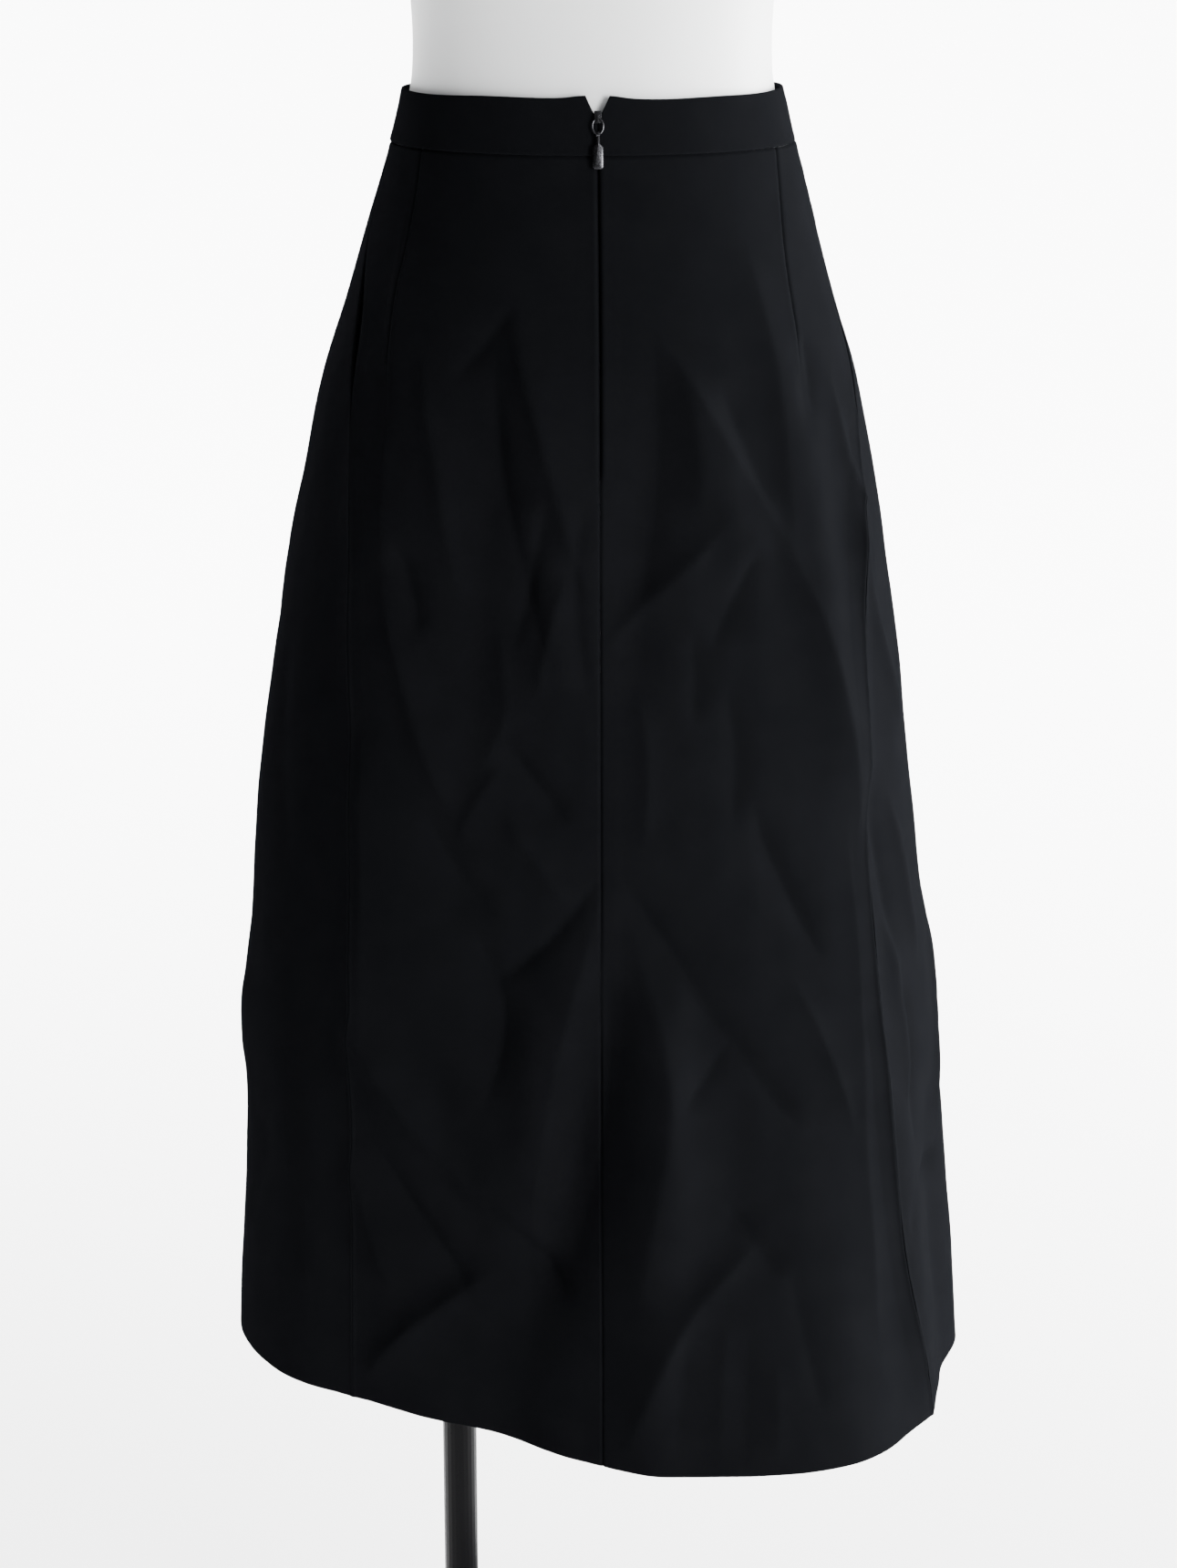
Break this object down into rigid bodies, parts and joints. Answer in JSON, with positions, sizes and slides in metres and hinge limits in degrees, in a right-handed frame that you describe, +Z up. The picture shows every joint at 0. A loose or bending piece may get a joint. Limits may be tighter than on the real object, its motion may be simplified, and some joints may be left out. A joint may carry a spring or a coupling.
{
  "type": "draped skirt on a dress form",
  "caption": "Flared midi skirt with a shaped waistband, long back darts, side pockets and a concealed centre back zip, worn by a limbless dress form on an off-centre pole and round base.",
  "frame": {"origin": "centre of the base's underside, on the floor", "axes": "+Z up the body; the front of the skirt faces -Y, so the zip is on +Y; the wearer's left is +X, where the pole stands"},
  "size_m": [0.5257, 0.4126, 1.6823],
  "materials": {
    "crepe": "matt woven crepe, near black",
    "tape": "woven zip tape, black",
    "zip_metal": "dark gunmetal plating",
    "form_white": "smooth white shell",
    "stand_metal": "black powder coat"
  },
  "bodies": {
    "skirt_on_form": {"waistband": "crepe", "front": "crepe", "back_left": "crepe", "back_right": "crepe", "pocket_left": "crepe", "pocket_right": "crepe", "zip_tape": "tape", "zip_slider": "zip_metal", "form_torso": "form_white", "form_neck_cap": "form_white", "form_socket": "stand_metal", "pole": "stand_metal", "pole_collar": "stand_metal", "base": "stand_metal"},
    "pull_ring": {"zip_ring": "zip_metal"},
    "pull_tab": {"zip_tab": "zip_metal"}
  },
  "joints": [
    {"name": "ring_swing", "type": "hinge", "parent": "skirt_on_form", "child": "pull_ring", "pos_m": [-0.0034, 0.09727, 1.20859], "axis": [0.9994, 0.0349, 0], "range_deg": [0, 120]},
    {"name": "tab_swing", "type": "hinge", "parent": "pull_ring", "child": "pull_tab", "pos_m": [-0.00347, 0.09925, 1.19899], "axis": [0.9994, 0.0349, 0], "range_deg": [0, 75]}
  ]
}
